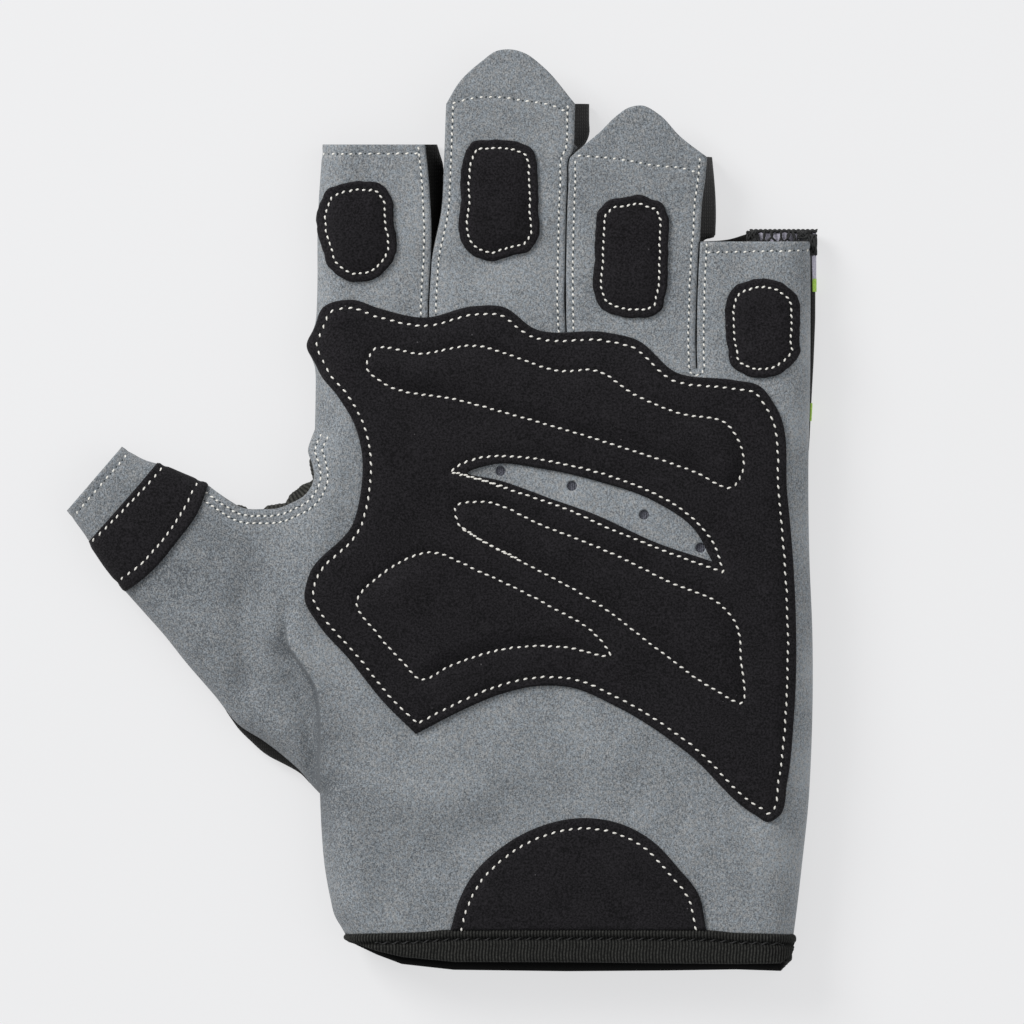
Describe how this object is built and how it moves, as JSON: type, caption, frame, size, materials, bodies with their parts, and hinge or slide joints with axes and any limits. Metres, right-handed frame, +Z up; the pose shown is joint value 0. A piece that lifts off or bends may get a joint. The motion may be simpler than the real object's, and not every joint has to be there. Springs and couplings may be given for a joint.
{
  "type": "weightlifting glove",
  "caption": "Fingerless left-hand weightlifting glove, lying palm up, with a grey suede front, black knit back and black padded palm patches.",
  "frame": {"origin": "on the flat underside of the knit back, under the middle of the palm", "axes": "+Y from the wrist opening toward the fingertips, +X from the thumb toward the little finger, +Z up out of the palm"},
  "size_m": [0.153, 0.189, 0.0159],
  "materials": {
    "grey_suede": "mottled grey suede, matt, with a short nap",
    "black_microfibre": "black brushed microfibre, matt",
    "black_knit": "black stretch knit with a faint sheen",
    "ribbed_binding": "black ribbed binding tape"
  },
  "bodies": {
    "root": {"palm_panel": "grey_suede", "back_panel": "black_knit", "fourchette_index_middle": "black_knit", "fourchette_middle_ring": "black_knit", "fourchette_ring_pinky": "black_knit", "thumb_web": "black_knit", "pad_index": "black_microfibre", "pad_middle": "black_microfibre", "pad_ring": "black_microfibre", "pad_pinky": "black_microfibre", "palm_patch": "black_microfibre", "heel_patch": "black_microfibre", "thumb_band": "black_microfibre", "wrist_binding": "ribbed_binding"}
  },
  "joints": []
}
